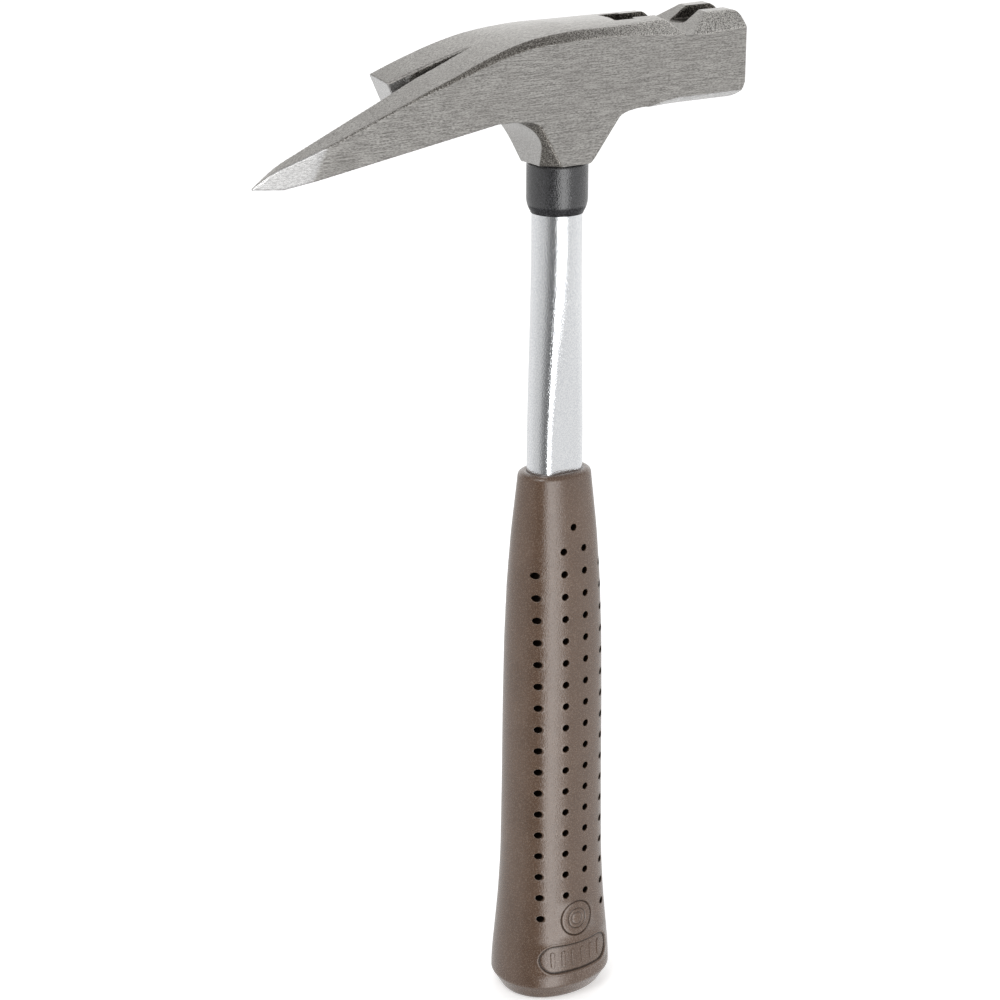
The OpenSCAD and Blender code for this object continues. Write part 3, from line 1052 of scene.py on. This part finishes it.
VIEW_TURN = math.radians(33.82)     # the camera's bearing, from the -Y side towards -X
VIEW_DROP = math.radians(18.924)    # how steeply it looks down
VIEW_ROLL = math.radians(0.146)
CAMERA_AT = (-462.6, -658.6, 452.0)
LENS = 93.29                        # focal length on a 36 mm sensor
FLOOR_GLOW = 0.42


def make_camera():
    """The camera, from a bearing, a drop and a roll."""
    forward = Vector((math.sin(VIEW_TURN) * math.cos(VIEW_DROP),
                      math.cos(VIEW_TURN) * math.cos(VIEW_DROP), -math.sin(VIEW_DROP)))
    right = Vector((math.cos(VIEW_TURN), -math.sin(VIEW_TURN), 0))
    right = Matrix.Rotation(-VIEW_ROLL, 3, forward) @ right
    up = right.cross(forward)
    camera = bpy.data.objects.new("camera", bpy.data.cameras.new("camera"))
    camera.data.lens = LENS
    camera.data.clip_start, camera.data.clip_end = 0.01, 100
    turn = Matrix((right, up, -forward)).transposed().to_4x4()
    camera.matrix_world = Matrix.Translation(Vector(CAMERA_AT) * MM) @ turn
    bpy.context.scene.collection.objects.link(camera)
    bpy.context.scene.camera = camera


# Brightness of the studio by bearing, in degrees: 0 is the camera's side, + is to the right of it.
# A tall soft box stands just right of the camera, with a dark gap on its left.
STUDIO = [(-180, 0.95), (-110, 0.85), (-75, 0.68), (-52, 0.60), (-40, 0.34), (-16, 0.16), (0, 0.14),
          (11, 3.3), (35, 3.3), (46, 0.75), (75, 0.85), (120, 0.95), (180, 0.95)]
STUDIO_TOP = 3.5                    # the ramp's full scale
CEILING = 0.5                       # brightness overhead and underfoot
BACK_LIGHT = 0.68                   # what a panel behind the hammer adds


def make_studio():
    """The world: walls by bearing, a dimmer ceiling and a lit panel behind the hammer."""
    world = bpy.data.worlds.new("studio")
    bpy.context.scene.world = world
    world.use_nodes = True
    tree = world.node_tree
    links = tree.links
    background = tree.nodes["Background"]
    direction = tree.nodes.new("ShaderNodeTexCoord").outputs["Generated"]

    def along(axis):
        dot = tree.nodes.new("ShaderNodeVectorMath")
        dot.operation = "DOT_PRODUCT"
        links.new(direction, dot.inputs[0])
        dot.inputs[1].default_value = axis
        return dot.outputs["Value"]

    def calculate(operation, a, b=0.0, c=0.0):
        made = tree.nodes.new("ShaderNodeMath")
        made.operation = operation
        for socket, value in zip(made.inputs, (a, b, c)):
            if isinstance(value, bpy.types.NodeSocket):
                links.new(value, socket)
            else:
                socket.default_value = value
        return made.outputs[0]

    to_camera = (-math.sin(VIEW_TURN), -math.cos(VIEW_TURN), 0)
    to_right = (math.cos(VIEW_TURN), -math.sin(VIEW_TURN), 0)
    bearing = calculate("ARCTAN2", along(to_right), along(to_camera))
    share = calculate("MULTIPLY_ADD", bearing, 0.5 / math.pi, 0.5)
    ramp = tree.nodes.new("ShaderNodeValToRGB")
    ramp.color_ramp.interpolation = "EASE"
    stops = ramp.color_ramp.elements
    while len(stops) < len(STUDIO):
        stops.new(0.5)
    for stop, (angle, value) in zip(stops, STUDIO):
        stop.position = (angle + 180) / 360
        stop.color = (value / STUDIO_TOP,) * 3 + (1,)
    links.new(share, ramp.inputs[0])
    walls = calculate("MULTIPLY", ramp.outputs[0], STUDIO_TOP)
    height = along((0, 0, 1))

    def spread(value, low, high):
        made = tree.nodes.new("ShaderNodeMapRange")
        made.interpolation_type = "SMOOTHSTEP"
        links.new(value, made.inputs[0])
        made.inputs[1].default_value, made.inputs[2].default_value = low, high
        return made.outputs[0]

    mix = tree.nodes.new("ShaderNodeMix")
    steep = calculate("ABSOLUTE", calculate("ADD", height, 0.25))
    links.new(spread(steep, 0.45, 0.85), mix.inputs[0])
    links.new(walls, mix.inputs[2])
    mix.inputs[3].default_value = CEILING
    away = tuple(-part for part in to_camera)
    behind = calculate("MULTIPLY", spread(along(away), 0.3, 0.75), spread(height, -0.08, 0.05))
    strength = calculate("MULTIPLY_ADD", behind, BACK_LIGHT, mix.outputs[0])
    links.new(strength, background.inputs["Strength"])
    background.inputs["Color"].default_value = (1, 1, 1, 1)


def make_lamp(name, place, size, power):
    """A round lamp aimed at the handle."""
    lamp = bpy.data.objects.new(name, bpy.data.lights.new(name, "AREA"))
    lamp.data.shape = "DISK"
    lamp.data.size = size
    lamp.data.energy = power
    lamp.location = place
    aim = Vector((0, 0, 0.2)) - Vector(place)
    lamp.rotation_euler = aim.to_track_quat("-Z", "Y").to_euler()
    bpy.context.scene.collection.objects.link(lamp)


def make_floor():
    """A wide pale floor under the butt."""
    size = 6
    points = [(-size, -size, 0), (size, -size, 0), (size, size, 0), (-size, size, 0)]
    floor = make_mesh("floor", np.array(points) / MM, [(0, 1, 2, 3)], smooth=False)
    paint_piece(floor, pale_floor())
    floor.visible_glossy = False


# ---------------------------------------------------------------- the hammer

def add_piece(piece, node, material):
    """Hands a piece in, in place of its CAD node."""
    paint_piece(piece, material)
    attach(piece, "root")
    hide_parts(node)


def dress_node(node, material):
    """Keeps a CAD node and gives it its material and softened edges."""
    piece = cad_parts[node]
    paint_piece(piece, material)
    soften = piece.modifiers.new("edges", "BEVEL")
    soften.width = 0.25 * MM
    soften.segments = 2
    soften.limit_method = "ANGLE"


make_camera()
make_studio()
make_floor()
make_lamp("key_light", (-0.9, -0.5, 1.5), 0.9, 8)
bpy.context.scene.view_settings.view_transform = "Standard"

black = black_plastic()
add_piece(make_head(), "head", forged_steel())
add_piece(make_tube(), "handle_tube", plated_steel())
add_piece(make_collar(), "collar", black)
add_piece(make_grip(), "grip", brown_plastic())
dress_node("nail_magnet", magnet_metal())
dress_node("eye_wedge", plain_steel())
dress_node("tube_stopper", black)
